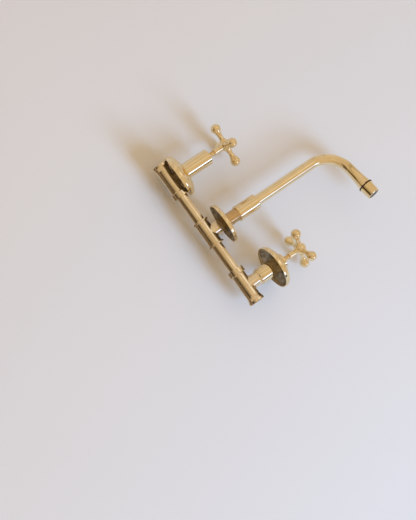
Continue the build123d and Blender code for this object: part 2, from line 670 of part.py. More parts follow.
def bell(outer_r, crown_r, shoulder_rise, rise, inset):
    """A flange's dome as a solid on its back plane, with its radii drawn in by the inset."""
    edge = (outer_r - inset, 0, FLANGE_EDGE)
    shoulder = (outer_r - FLANGE_SHOULDER_INSET - inset, 0, shoulder_rise)
    crown = (crown_r - inset, 0, rise)
    edge_round = TangentArc(edge, shoulder, tangent=(0, 0, 1))
    return turned(
        *outline((0, 0), (outer_r - inset, 0), (outer_r - inset, FLANGE_EDGE)),
        edge_round,
        TangentArc(shoulder, crown, tangent=edge_round % 1),
        *outline((crown_r - inset, rise), (0, rise), (0, 0)),
    )


def flange(outer_d, bore_d, shoulder_rise, rise):
    """A spun flange of even wall with a plain hole, whose middle is at the origin."""
    size = (outer_d / 2, bore_d / 2 + FLANGE_LAND, shoulder_rise, rise)
    shell = bell(*size, 0) - Pos(0, 0, -FLANGE_WALL) * bell(*size, FLANGE_WALL)
    return Pos(0, 0, FLANGE_WALL / 2 - rise) * (shell - rod(bore_d, -1, rise + 1))


def hung(piece, bore_d, shaft_d, height, lean):
    """Hang a flange on a shaft by the top of its hole, at a height, with its front tipped up."""
    tip = radians(lean)
    play = (bore_d * cos(tip) - FLANGE_WALL * sin(tip) - shaft_d) / 2
    return Pos(0, END_PLAY - play, height) * Rot(-lean, 0, 0) * piece


def valve_flange(height, lean):
    """A flange that hangs on a shroud and can pass over the shroud's rim."""
    bore_d = RIM_OD + 2 * SLIDE_GAP
    piece = flange(FLANGE_OD, bore_d, FLANGE_SHOULDER_RISE, FLANGE_RISE)
    return hung(piece, bore_d, RIM_OD, height, lean)


def spout_flange():
    """The flange that hangs on the spout's nipple, between the tee and the union."""
    bore_d = NIPPLE_COLLAR_OD + 2 * SLIDE_GAP
    piece = flange(SPOUT_FLANGE_OD, bore_d, SPOUT_FLANGE_SHOULDER_RISE, SPOUT_FLANGE_RISE)
    return hung(piece, bore_d, NIPPLE_COLLAR_OD, SPOUT_FLANGE_HEIGHT, SPOUT_FLANGE_LEAN)


def fixed_pieces():
    """Every piece of a valve that stands still, about the branch's own axis."""
    return {
        "seat_seal": seat_seal(),
        "fixed_disc": fixed_disc(),
        "cartridge_body": cartridge_body(),
        "body_gasket": body_gasket(),
        "steady_ring": steady_ring(),
        "shroud": shroud(),
    }


def turning_pieces():
    """Every piece that turns with a cross handle, with the arms along and across the body."""
    return {
        "moving_disc": moving_disc(),
        "spindle": spindle(),
        "spindle_seal": spindle_seal(),
        "spindle_clip": spindle_clip(),
        "cross_handle": cross_handle(),
        "handle_screw": handle_screw(),
        "index_cap": index_cap(),
    }


def spout_pieces():
    """Every piece that turns with the spout, whose outlet leg lies flat towards the hot valve."""
    return {
        "spout_tail": branch() * spout_tail(),
        "tail_seals": branch() * tail_seals(),
        "spout_tube": spout_tube(),
        "outlet_ring": outlet_frame() * outlet_ring(),
        "outlet_housing": outlet_frame() * outlet_housing(),
        "aerator_insert": outlet_frame() * aerator_insert(),
    }


def faucet():
    """Every piece in place, by node name."""
    pieces = {"centre_tee": centre_tee()}
    valve_x = HANDLE_SPACING / 2
    cold_tee = Pos(valve_x, 0, 0) * valve_tee()
    pieces["cold_valve_tee"] = cold_tee
    pieces["hot_valve_tee"] = mirror(cold_tee, Plane.YZ)
    pieces["cold_run_tube"] = run_tube()
    pieces["hot_run_tube"] = mirror(run_tube(), Plane.YZ)
    fixed = fixed_pieces()
    turning = turning_pieces()
    sides = (("hot", -valve_x, HOT_HANDLE_ANGLE), ("cold", valve_x, COLD_HANDLE_ANGLE))
    for side, x, angle in sides:
        for name, solid in fixed.items():
            pieces[f"{side}_{name}"] = branch(x) * solid
        for name, solid in turning.items():
            pieces[f"{side}_{name}"] = branch(x) * Rot(0, 0, angle) * solid
    pieces["spout_nipple"] = branch() * spout_nipple()
    pieces["union_sleeve"] = branch() * union_sleeve()
    pieces["thrust_washer"] = branch() * thrust_washer()
    for name, solid in spout_pieces().items():
        pieces[name] = Rot(0, SPOUT_TURN, 0) * solid
    pieces["hot_flange"] = branch(-valve_x) * valve_flange(HOT_FLANGE_HEIGHT, HOT_FLANGE_LEAN)
    pieces["cold_flange"] = branch(valve_x) * valve_flange(COLD_FLANGE_HEIGHT, COLD_FLANGE_LEAN)
    pieces["spout_flange"] = branch() * spout_flange()
    return pieces


os.makedirs("parts", exist_ok=True)
for node, piece in faucet().items():
    export_step(piece, f"parts/{node}.step")
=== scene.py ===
"""Looks of a wall-mounted bathroom faucet, laid on a pale floor in soft daylight.

The in-wall body is satin brass, and the handles, shrouds, flanges and spout are polished brass.
Everything is in metres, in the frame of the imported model: +X runs along the body to the cold
valve, -Y is out of the wall, and the body axis meets the spout axis at the origin.
"""

import logging
import math
from collections.abc import Iterable
from dataclasses import dataclass, field
from enum import Enum

import bpy
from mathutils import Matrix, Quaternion, Vector


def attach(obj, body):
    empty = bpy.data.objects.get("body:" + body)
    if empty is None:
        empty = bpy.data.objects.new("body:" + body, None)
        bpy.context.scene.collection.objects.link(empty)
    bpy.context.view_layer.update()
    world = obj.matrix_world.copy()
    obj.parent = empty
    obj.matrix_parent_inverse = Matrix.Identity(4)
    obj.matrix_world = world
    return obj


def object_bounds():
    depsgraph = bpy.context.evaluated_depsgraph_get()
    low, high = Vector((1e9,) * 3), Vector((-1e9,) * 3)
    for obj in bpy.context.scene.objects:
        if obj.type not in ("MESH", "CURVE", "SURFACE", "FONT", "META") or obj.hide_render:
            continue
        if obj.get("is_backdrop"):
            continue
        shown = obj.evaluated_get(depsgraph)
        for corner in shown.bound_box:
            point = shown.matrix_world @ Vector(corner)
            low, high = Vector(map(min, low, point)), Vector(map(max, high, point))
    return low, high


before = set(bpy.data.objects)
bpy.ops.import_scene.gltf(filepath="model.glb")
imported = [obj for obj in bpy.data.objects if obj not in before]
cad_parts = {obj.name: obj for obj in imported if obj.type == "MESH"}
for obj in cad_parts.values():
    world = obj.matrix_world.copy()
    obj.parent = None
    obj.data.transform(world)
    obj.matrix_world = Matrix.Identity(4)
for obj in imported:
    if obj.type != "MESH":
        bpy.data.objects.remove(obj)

log = logging.getLogger("faucet")

Colour = tuple[float, float, float]
Point = tuple[float, float, float]
Span = tuple[float, float]
Node = bpy.types.Node
NodeTree = bpy.types.NodeTree
Socket = bpy.types.NodeSocket
Feed = bpy.types.NodeSocket | float | tuple[float, ...]

MM = 0.001
ORIGIN: Point = (0.0, 0.0, 0.0)


class Side(Enum):
    """The two valves of the faucet."""

    HOT = -1
    COLD = 1

    @property
    def word(self) -> str:
        """The valve's word in the names of its nodes."""
        return self.name.lower()

    @property
    def x(self) -> float:
        """Where the valve's axis crosses the body axis."""
        return self.value * 101.6 * MM


class Lay(Enum):
    """The axis that a pattern is centred on, as the turn that brings local Z onto it."""

    ALONG_BODY = (0.0, math.pi / 2, 0.0)
    ALONG_BRANCH = (math.pi / 2, 0.0, 0.0)
    UPRIGHT = (0.0, 0.0, 0.0)


@dataclass(frozen=True)
class Axis:
    """The axis that a piece is turned about: its lay, a point on it, and how far it leans."""

    lay: Lay = Lay.UPRIGHT
    centre: Point = ORIGIN
    lean: float = 0.0

    @property
    def turn(self) -> Point:
        """The turn that brings local Z onto the axis."""
        about_x, about_y, about_z = self.lay.value
        return (about_x - self.lean, about_y, about_z)

    @property
    def label(self) -> str:
        """A short word for the names of materials."""
        return f"{self.lay.name.lower()}_{round(self.centre[0] / MM)}_{round(self.centre[1] / MM)}"


class Marks(Enum):
    """The way that the fine marks of a finish run, as the stretch of their pattern."""

    DRAWN = (1.0, 1.0, 0.03)
    TURNED = (0.05, 0.05, 1.0)
    NONE = (1.0, 1.0, 1.0)


class Mix(Enum):
    """What a Mix node blends: its data type, and the places of its inputs and its result."""

    COLOUR = ("RGBA", (0, 6, 7), 2)
    NUMBER = ("FLOAT", (0, 2, 3), 0)


@dataclass
class Graph:
    """A node tree that nodes are added to and wired in."""

    tree: NodeTree
    layer_strength: float = 0.55

    def add(self, kind: str, **settings: object) -> Node:
        """Adds one node.

        Args:
            kind: Blender's name of the node type.
            settings: attributes of the node, set as they are.

        Returns:
            The new node.
        """
        node = self.tree.nodes.new(kind)
        for name, value in settings.items():
            setattr(node, name, value)
        return node

    def feed(self, socket: Socket, value: Feed) -> None:
        """Wires a socket to another one, or gives it a plain value.

        Args:
            socket: the input that is fed.
            value: the socket or the value that it gets. A colour is given as three numbers.
        """
        if isinstance(value, Socket):
            self.tree.links.new(value, socket)
        elif isinstance(value, tuple) and socket.type == "RGBA":
            socket.default_value = (*value, 1.0)
        else:
            socket.default_value = value

    def put(self, node: Node, **values: Feed) -> Node:
        """Sets or wires inputs of a node.

        Args:
            node: the node.
            values: input names, with _ for a space, and what each gets: a socket or a value.

        Returns:
            The same node.
        """
        for name, value in values.items():
            self.feed(node.inputs[name.replace("_", " ")], value)
        return node

    def reckon(self, operation: str, *values: Feed) -> Socket:
        """Reckons with numbers.

        Args:
            operation: Blender's name of the operation.
            values: the numbers, in the order of the node's inputs.

        Returns:
            The result of the Math node.
        """
        node = self.add("ShaderNodeMath", operation=operation)
        for socket, value in zip(node.inputs, values):
            self.feed(socket, value)
        return node.outputs[0]

    def vector(self, operation: str, *values: Feed) -> Node:
        """Reckons with vectors.

        Args:
            operation: Blender's name of the operation.
            values: the vectors, in the order of the node's inputs.

        Returns:
            The Vector Math node, whose result is a vector or a value.
        """
        node = self.add("ShaderNodeVectorMath", operation=operation)
        for socket, value in zip(node.inputs, values):
            self.feed(socket, value)
        return node

    def noise(self, vector: Socket, fineness: Feed, layers: float = 2.0) -> Socket:
        """An uneven pattern.

        Args:
            vector: the place in the pattern.
            fineness: how fine the pattern is, in lumps per metre.
            layers: how many finer layers lie on it.

        Returns:
            A value that drifts about 0.5.
        """
        node = self.add("ShaderNodeTexNoise")
        self.put(node, Vector=vector, Scale=fineness, Detail=layers, Roughness=self.layer_strength)
        return node.outputs["Fac"]

    def ease(self, value: Socket, low: float, high: float, start: Feed = 0.0, end: Feed = 1.0) -> Socket:
        """Eases a value from one range into another.

        Args:
            value: the value.
            low: where the first range starts.
            high: where it ends.
            start: the result at low, and below it.
            end: the result at high, and above it.

        Returns:
            The eased value.
        """
        node = self.add("ShaderNodeMapRange", interpolation_type="SMOOTHSTEP")
        self.put(node, Value=value, From_Min=low, From_Max=high, To_Min=start, To_Max=end)
        return node.outputs[0]

    def blend(self, share: Socket, first: Feed, second: Feed, mix: Mix = Mix.COLOUR) -> Socket:
        """Blends two colours or two numbers.

        Args:
            share: how much of the second there is, from 0 to 1.
            first: the colour or number at 0.
            second: the colour or number at 1.
            mix: which of the two kinds they are.

        Returns:
            The blend.
        """
        data_type, places, result = mix.value
        node = self.add("ShaderNodeMix", data_type=data_type)
        for place, value in zip(places, (share, first, second)):
            self.feed(node.inputs[place], value)
        return node.outputs[result]

    def effect(self, group: NodeTree, **values: Feed) -> Node:
        """Places a shared effect, with its own values."""
        return self.put(self.add("ShaderNodeGroup", node_tree=group), **values)


@dataclass
class Effects:
    """The effects that several finishes share, each a node group that is built once."""

    marks: NodeTree = field(init=False)
    handling: NodeTree = field(init=False)
    mark_layers: float = 3.0
    cloud_layers: float = 4.0
    speck_fineness: float = 9.0
    speck_share: float = 0.2
    dull_span: Span = (0.4, 0.62)

    def __post_init__(self) -> None:
        """Builds the groups."""
        self.marks = self.build_marks()
        self.handling = self.build_handling()

    @staticmethod
    def group(name: str, inputs: dict[str, Feed], outputs: Iterable[str]) -> tuple[Graph, Node, Node]:
        """Starts a node group with named sockets.

        Args:
            name: the group's name.
            inputs: names and plain values: a number, or three numbers for a vector.
            outputs: names of the values that the group puts out.

        Returns:
            The group's graph, its input node and its output node.
        """
        tree = bpy.data.node_groups.new(name, "ShaderNodeTree")
        for label, value in inputs.items():
            kind = "NodeSocketVector" if isinstance(value, tuple) else "NodeSocketFloat"
            tree.interface.new_socket(name=label, in_out="INPUT", socket_type=kind).default_value = value
        for label in outputs:
            tree.interface.new_socket(name=label, in_out="OUTPUT", socket_type="NodeSocketFloat")
        graph = Graph(tree)
        return graph, graph.add("NodeGroupInput"), graph.add("NodeGroupOutput")

    def build_marks(self) -> NodeTree:
        """Fine marks that run one way, as a drawing die or a lathe tool leaves them.

        Returns:
            The group, which puts out the height of the marks.
        """
        values = {"Vector": ORIGIN, "Stretch": ORIGIN, "Fineness": 900.0}
        graph, given, out = self.group("fine_marks", values, ["Height"])
        vector, stretch, fineness = (given.outputs[label] for label in values)
        stretched = graph.vector("MULTIPLY", vector, stretch).outputs[0]
        graph.put(out, Height=graph.noise(stretched, fineness, self.mark_layers))
        return graph.tree

    def build_handling(self) -> NodeTree:
        """Cloudy traces of hands and drying, which leave a polish uneven.

        Returns:
            The group, which puts out a roughness and a mask of the duller places.
        """
        values = {"Vector": ORIGIN, "Clean": 0.1, "Dull": 0.2, "Size": 40.0}
        graph, given, out = self.group("handling", values, ["Roughness", "Mask"])
        vector, clean, dull, size = (given.outputs[label] for label in values)
        cloud = graph.noise(vector, size, self.cloud_layers)
        speck = graph.noise(vector, graph.reckon("MULTIPLY", size, self.speck_fineness))
        both = graph.reckon(
            "ADD",
            graph.reckon("MULTIPLY", cloud, 1.0 - self.speck_share),
            graph.reckon("MULTIPLY", speck, self.speck_share),
        )
        mask = graph.ease(both, *self.dull_span)
        graph.put(out, Roughness=graph.ease(mask, 0.0, 1.0, clean, dull), Mask=mask)
        return graph.tree


@dataclass
class Coat:
    """A material in the making: its graph, its shader and the coordinates of its pattern."""

    material: bpy.types.Material
    graph: Graph
    shader: Node
    vector: Socket
    place: Node

    @classmethod
    def start(cls, name: str, axis: Axis = Axis()) -> "Coat":
        """Starts a material whose pattern is centred on an axis.

        Args:
            name: the material's name.
            axis: the axis that the pattern's own Z runs along.

        Returns:
            The coat, to be completed.
        """
        material = bpy.data.materials.new(name)
        material.use_nodes = True
        material.node_tree.nodes.clear()
        graph = Graph(material.node_tree)
        shader = graph.add("ShaderNodeBsdfPrincipled")
        graph.put(graph.add("ShaderNodeOutputMaterial"), Surface=shader.outputs["BSDF"])
        place = graph.add("ShaderNodeTexCoord")
        turn = graph.add("ShaderNodeMapping", vector_type="TEXTURE")
        graph.put(turn, Vector=place.outputs["Object"], Location=axis.centre, Rotation=axis.turn)
        return cls(material, graph, shader, turn.outputs[0], place)

    def bump(self, height: Socket, distance: float) -> Socket:
        """The surface's normal, bumped by a height."""
        node = self.graph.add("ShaderNodeBump")
        return self.graph.put(node, Height=height, Distance=distance, Strength=1.0).outputs[0]

    def matt(self, tone: Feed) -> bpy.types.Material:
        """Completes the coat as matt paper.

        Args:
            tone: the paper's colour.

        Returns:
            The material.
        """
        self.graph.put(self.shader, Base_Color=tone, Roughness=0.9, Specular_IOR_Level=0.1)
        return self.material


@dataclass(frozen=True)
class Brass:
    """A brass finish: two tones, how dull it is, and the marks that the tool left on it."""

    name: str
    light: Colour
    deep: Colour
    clean: float
    dull: float
    marks: Marks
    fineness: float
    depth: float
    cloud: float = 40.0
    worn: float = 0.3
    worn_span: Span = (0.35, 0.7)
    edge: Colour = (1.0, 0.90, 0.74)

    def material(self, effects: Effects, axis: Axis) -> bpy.types.Material:
        """Builds the finish for the pieces on one axis.

        Args:
            effects: the shared effects.
            axis: the axis of the pieces.

        Returns:
            The material.
        """
        coat = Coat.start(f"{self.name}_{axis.label}", axis)
        graph = coat.graph
        marks = graph.effect(
            effects.marks, Vector=coat.vector, Stretch=self.marks.value, Fineness=self.fineness
        )
        height = marks.outputs["Height"]
        traces = graph.effect(
            effects.handling, Vector=coat.vector, Clean=self.clean, Dull=self.dull, Size=self.cloud
        )
        tone = graph.blend(traces.outputs["Mask"], self.light, self.deep)
        worn = graph.ease(height, *self.worn_span, 0.0, self.worn)
        graph.put(
            coat.shader,
            Base_Color=graph.blend(worn, tone, self.deep),
            Metallic=1.0,
            Roughness=traces.outputs["Roughness"],
            Specular_Tint=self.edge,
            Normal=coat.bump(height, self.depth),
        )
        return coat.material


@dataclass(frozen=True)
class FlangeBrass:
    """Polished brass in front and raw brass behind, inside the bell, darkened by painted shade round its
    hole.

    The raw part is found by the way that its surface faces, within the rim. The spans of the ring of
    painted shade round the hole are shares of the rim's radius.
    """

    name: str
    rim_r: float
    front: Colour = (0.89, 0.78, 0.53)
    front_deep: Colour = (0.85, 0.71, 0.45)
    back: Colour = (0.50, 0.42, 0.30)
    back_deep: Colour = (0.27, 0.22, 0.15)
    # Painted shade: the near-black tone that the raw part takes round its hole.
    back_painted_shade: Colour = (0.07, 0.045, 0.022)
    edge: Colour = (1.0, 0.90, 0.74)
    clean: float = 0.12
    dull: float = 0.24
    cloud: float = 35.0
    front_fineness: float = 1400.0
    front_depth: float = 0.03
    ring_fineness: float = 900.0
    swirl_fineness: float = 130.0
    swirl_layers: float = 5.0
    swirl_span: Span = (0.38, 0.62)
    spot_fineness: float = 420.0
    spot_layers: float = 3.0
    spot_span: Span = (0.35, 0.65)
    raw_roughness: Span = (0.42, 0.62)
    raw_depth: float = 0.25 * MM
    painted_shade_span: Span = (0.45, 0.72)
    behind_span: Span = (-0.25, -0.12)
    inside_span: Span = (-0.5, -0.3)
    rim_blur: float = 0.2 * MM

    def raw_share(self, coat: Coat, axis: Axis, flat: Socket, radius: Socket) -> Socket:
        """Finds the raw part of the flange, by the way that its surface faces.

        Args:
            coat: the material in the making.
            axis: the flange's own axis.
            flat: the way from the axis to the place.
            radius: how far the place is from the axis.

        Returns:
            A share: 1 inside the bell and 0 in front and on the rim.
        """
        graph = coat.graph
        outwards = graph.vector("NORMALIZE", flat).outputs[0]
        turn = graph.add("ShaderNodeMapping", vector_type="TEXTURE")
        graph.put(turn, Vector=coat.place.outputs["Normal"], Rotation=axis.turn)
        facing = graph.put(graph.add("ShaderNodeSeparateXYZ"), Vector=turn.outputs[0])
        outward = graph.vector("DOT_PRODUCT", turn.outputs[0], outwards).outputs["Value"]
        behind = graph.ease(facing.outputs["Z"], *self.behind_span, 1.0, 0.0)
        inside = graph.ease(outward, *self.inside_span, 1.0, 0.0)
        within = graph.ease(radius, self.rim_r - self.rim_blur, self.rim_r, 1.0, 0.0)
        return graph.reckon("MULTIPLY", graph.reckon("MAXIMUM", behind, inside), within)

    def raw_tone(self, graph: Graph, swirl: Socket, radius: Socket) -> Socket:
        """Colours the raw part, with a ring of painted shade that darkens it towards its hole.

        Args:
            graph: the material's graph.
            swirl: the cloudy pattern of the raw surface.
            radius: how far the place is from the axis.

        Returns:
            The colour.
        """
        stained = graph.blend(graph.ease(swirl, *self.swirl_span), self.back, self.back_deep)
        # Painted shade: the raw part darkens to near-black towards the hole.
        inner, outer = (share * self.rim_r for share in self.painted_shade_span)
        return graph.blend(graph.ease(radius, inner, outer, 1.0, 0.0), stained, self.back_painted_shade)

    def material(self, effects: Effects, axis: Axis) -> bpy.types.Material:
        """Builds the finish for a flange.

        Args:
            effects: the shared effects.
            axis: the flange's own axis.

        Returns:
            The material.
        """
        coat = Coat.start(f"{self.name}_{axis.label}", axis)
        graph = coat.graph
        flat = graph.vector("MULTIPLY", coat.vector, (1.0, 1.0, 0.0)).outputs[0]
        radius = graph.vector("LENGTH", flat).outputs["Value"]
        raw = self.raw_share(coat, axis, flat, radius)
        swirl = graph.noise(coat.vector, self.swirl_fineness, self.swirl_layers)
        spots = graph.noise(coat.vector, self.spot_fineness, self.spot_layers)
        traces = graph.effect(
            effects.handling, Vector=coat.vector, Clean=self.clean, Dull=self.dull, Size=self.cloud
        )
        marks, rings = (
            graph.effect(
                effects.marks, Vector=coat.vector, Stretch=Marks.TURNED.value, Fineness=fineness
            ).outputs["Height"]
            for fineness in (self.front_fineness, self.ring_fineness)
        )
        front_tone = graph.blend(traces.outputs["Mask"], self.front, self.front_deep)
        pitted = graph.reckon("ADD", graph.reckon("ADD", swirl, spots), rings)
        height = graph.blend(raw, marks, pitted, Mix.NUMBER)
        depth = graph.reckon("MULTIPLY", height, graph.ease(raw, 0.0, 1.0, self.front_depth, 1.0))
        raw_roughness = graph.ease(spots, *self.spot_span, *self.raw_roughness)
        graph.put(
            coat.shader,
            Base_Color=graph.blend(raw, front_tone, self.raw_tone(graph, swirl, radius)),
            Metallic=1.0,
            Roughness=graph.blend(raw, traces.outputs["Roughness"], raw_roughness, Mix.NUMBER),
            Specular_Tint=self.edge,
            Normal=coat.bump(depth, self.raw_depth),
        )
        return coat.material


@dataclass(frozen=True)
class Plain:
    """A finish that isn't brass: its colour, gloss and a fine surface texture."""

    name: str
    light: Colour
    deep: Colour
    clean: float
    dull: float
    grain: float
    depth: float
    metallic: float = 0.0
    gloss: float = 0.5
    cloud: float = 60.0
    grain_layers: float = 3.0

    def material(self, effects: Effects, axis: Axis) -> bpy.types.Material:
        """Builds the finish.

        Args:
            effects: the shared effects.
            axis: the axis of the pieces.

        Returns:
            The material.
        """
        coat = Coat.start(f"{self.name}_{axis.label}", axis)
        graph = coat.graph
        traces = graph.effect(
            effects.handling, Vector=coat.vector, Clean=self.clean, Dull=self.dull, Size=self.cloud
        )
        texture = graph.noise(coat.vector, self.grain, self.grain_layers)
        graph.put(
            coat.shader,
            Base_Color=graph.blend(traces.outputs["Mask"], self.light, self.deep),
            Metallic=self.metallic,
            Roughness=traces.outputs["Roughness"],
            Specular_IOR_Level=self.gloss,
            Normal=coat.bump(texture, self.depth),
        )
        return coat.material


Finish = Brass | FlangeBrass | Plain

POLISHED = Brass(
    "polished_brass", light=(0.89, 0.78, 0.53), deep=(0.86, 0.73, 0.47), clean=0.025, dull=0.06,
    marks=Marks.TURNED, fineness=1600.0, depth=0.002 * MM,
)
SATIN = Brass(
    "satin_brass", light=(0.90, 0.81, 0.62), deep=(0.80, 0.69, 0.49), clean=0.17, dull=0.24,
    marks=Marks.DRAWN, fineness=1500.0, depth=0.004 * MM,
)
BROWN = Brass(
    "brown_brass", light=(0.76, 0.60, 0.37), deep=(0.56, 0.42, 0.23), clean=0.18, dull=0.30,
    marks=Marks.TURNED, fineness=1200.0, depth=0.010 * MM,
)
BRAZE = Brass(
    "braze", light=(0.86, 0.72, 0.46), deep=(0.60, 0.45, 0.26), clean=0.22, dull=0.36,
    marks=Marks.NONE, fineness=900.0, depth=0.010 * MM,
)
MACHINED = Brass(
    "machined_brass", light=(0.86, 0.66, 0.36), deep=(0.72, 0.52, 0.26), clean=0.16, dull=0.28,
    marks=Marks.TURNED, fineness=2400.0, depth=0.008 * MM,
)
VALVE_FLANGE = FlangeBrass("valve_flange_brass", rim_r=34.6 * MM)
SPOUT_FLANGE = FlangeBrass("spout_flange_brass", rim_r=32.6 * MM)
CERAMIC = Plain(
    "ceramic", light=(0.86, 0.84, 0.78), deep=(0.80, 0.78, 0.72), clean=0.15, dull=0.28,
    grain=2500.0, depth=0.002 * MM,
)
RUBBER = Plain(
    "rubber", light=(0.010, 0.007, 0.006), deep=(0.020, 0.015, 0.012), clean=0.45, dull=0.62,
    grain=1800.0, depth=0.01 * MM, gloss=0.12,
)
SPRING = Plain(
    "spring_steel", light=(0.62, 0.61, 0.60), deep=(0.50, 0.49, 0.48), clean=0.2, dull=0.34,
    grain=2200.0, depth=0.004 * MM, metallic=1.0,
)
PLASTIC = Plain(
    "grey_plastic", light=(0.26, 0.25, 0.25), deep=(0.12, 0.11, 0.12), clean=0.35, dull=0.5,
    grain=900.0, depth=0.04 * MM, gloss=0.3,
)


@dataclass
class Workshop:
    """Holds the shared effects, and gives each node and piece its finish."""

    effects: Effects = field(default_factory=Effects)
    made: dict[tuple[str, Axis], bpy.types.Material] = field(default_factory=dict)

    def dress(self, names: Iterable[str], finish: Finish, axis: Axis) -> None:
        """Gives CAD nodes or new pieces a finish.

        Args:
            names: the objects' names.
            finish: the finish.
            axis: the axis of the pieces.
        """
        key = (finish.name, axis)
        if key not in self.made:
            self.made[key] = finish.material(self.effects, axis)
        for name in names:
            slots = bpy.data.objects[name].data.materials
            slots.clear()
            slots.append(self.made[key])
            log.info("%s: %s", name, finish.name)


@dataclass(frozen=True)
class Ridge:
    """A fine ridge that winds round an axis: a screw thread, or a closed ring where it has no pitch.

    The ridge stands out from a round surface, or into a bore where it is inward. Its profile is
    a triangle, whose base lies a little below the surface.
    """

    name: str
    axis: Axis
    radius: float
    height: float
    width: float
    start: float = 0.0
    length: float = 0.0
    pitch: float = 0.0
    inward: bool = False
    sunk: float = 0.15 * MM
    steps: int = 48
    merged: float = 0.001 * MM
    smooth_below: float = math.radians(30.0)
    triangle_height: float = 1.5
    triangle_width: float = math.sqrt(3)

    def draw_profile(self) -> bpy.types.Object:
        """Draws the profile beside local Z, as a triangle of the right height and width.

        Returns:
            The triangle, three edges without a face.
        """
        way = -1 if self.inward else 1
        quarter = math.pi / 2
        scale = (self.height + self.sunk) / self.triangle_height
        bpy.ops.object.select_all(action="DESELECT")
        bpy.ops.mesh.primitive_circle_add(
            vertices=3, radius=1.0, fill_type="NOTHING", rotation=(way * quarter, quarter, 0.0)
        )
        profile = bpy.context.object
        profile.name = self.name
        bpy.ops.object.transform_apply(location=True, rotation=True, scale=True)
        profile.scale = (scale, 1.0, self.width / self.triangle_width)
        profile.location = (self.radius + way * (self.height - scale), 0.0, self.start)
        bpy.ops.object.transform_apply(location=True, rotation=True, scale=True)
        return profile

    def build(self) -> bpy.types.Object:
        """Winds the profile round the axis.

        Returns:
            The ridge, with its place in its mesh.
        """
        ridge = self.draw_profile()
        winding = ridge.modifiers.new("winding", "SCREW")
        winding.axis = "Z"
        winding.steps = self.steps
        winding.render_steps = self.steps
        winding.screw_offset = self.pitch
        winding.iterations = max(int(self.length / self.pitch), 1) if self.pitch else 1
        winding.use_merge_vertices = not self.pitch
        bpy.ops.object.modifier_apply(modifier=winding.name)
        bpy.ops.object.mode_set(mode="EDIT")
        bpy.ops.mesh.select_all(action="SELECT")
        bpy.ops.mesh.remove_doubles(threshold=self.merged)
        bpy.ops.mesh.fill_holes(sides=3)
        bpy.ops.mesh.select_all(action="SELECT")
        bpy.ops.mesh.normals_make_consistent(inside=False)
        bpy.ops.object.mode_set(mode="OBJECT")
        bpy.ops.object.shade_smooth_by_angle(angle=self.smooth_below)
        ridge.rotation_euler = self.axis.turn
        ridge.location = self.axis.centre
        bpy.ops.object.transform_apply(location=True, rotation=True, scale=True)
        return ridge


@dataclass(frozen=True)
class PipeThread:
    """The crests of a parallel pipe thread, which take up a share of its pitch."""

    height: float
    pitch: float = 1.814 * MM
    share: float = 0.8

    @property
    def width(self) -> float:
        """How wide a crest is at its base."""
        return self.share * self.pitch


@dataclass
class InWallBody:
    """The satin body: centre tee, run tubes and valve tees."""

    workshop: Workshop
    tees: tuple[str, ...] = ("centre_tee", "cold_valve_tee", "hot_valve_tee")
    tubes: tuple[str, ...] = ("cold_run_tube", "hot_run_tube")
    tube_r: float = 9.0 * MM
    centre_socket: float = 23.0 * MM
    valve_socket: float = 71.1 * MM
    joint_height: float = 0.7 * MM
    joint_width: float = 1.6 * MM
    inlet_x: float = 125.1 * MM
    inlet_r: float = 9.3 * MM
    inlet_depth: float = 12.0 * MM
    inlet_thread: PipeThread = PipeThread(height=0.5 * MM)

    def build(self) -> None:
        """Dresses the body and adds what its joints and inlets show."""
        self.workshop.dress((*self.tees, *self.tubes), SATIN, Axis(Lay.ALONG_BODY))
        for side in Side:
            self.braze(side)
            self.cut_inlet(side)

    def braze(self, side: Side) -> None:
        """Runs a fillet of brazing alloy round a run tube where it enters each of its tees.

        Args:
            side: the side that the run tube is on.
        """
        for tee, socket in (("centre", self.centre_socket), ("valve", self.valve_socket)):
            name = f"{side.word}_{tee}_braze"
            axis = Axis(Lay.ALONG_BODY, (side.value * socket, 0.0, 0.0))
            ring = Ridge(name, axis, self.tube_r, self.joint_height, self.joint_width).build()
            self.workshop.dress([name], BRAZE, axis)
            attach(ring, "wall_body")

    def cut_inlet(self, side: Side) -> None:
        """Puts the crests of the pipe thread into an inlet.

        Args:
            side: the side that the inlet is on.
        """
        name = f"{side.word}_inlet_thread"
        half = self.inlet_depth / 2
        axis = Axis(Lay.ALONG_BODY, (side.value * (self.inlet_x - half) - half, 0.0, 0.0))
        crests = self.inlet_thread
        thread = Ridge(
            name, axis, self.inlet_r, crests.height, crests.width,
            length=self.inlet_depth, pitch=crests.pitch, inward=True,
        ).build()
        self.workshop.dress([name], SATIN, Axis(Lay.ALONG_BODY))
        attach(thread, "wall_body")


@dataclass
class Valve:
    """One valve: its cartridge, shroud, spindle and cross handle."""

    workshop: Workshop
    side: Side

    def named(self, *names: str) -> list[str]:
        """The node names of this valve's pieces."""
        return [f"{self.side.word}_{name}" for name in names]

    def build(self) -> None:
        """Dresses the valve."""
        axis = Axis(Lay.ALONG_BRANCH, (self.side.x, 0.0, 0.0))
        shop = self.workshop
        shop.dress(self.named("shroud", "cross_handle", "index_cap"), POLISHED, axis)
        shop.dress(self.named("cartridge_body", "spindle", "handle_screw"), MACHINED, axis)
        shop.dress(self.named("fixed_disc", "moving_disc"), CERAMIC, axis)
        shop.dress(self.named("seat_seal", "body_gasket", "steady_ring", "spindle_seal"), RUBBER, axis)
        shop.dress(self.named("spindle_clip"), SPRING, axis)


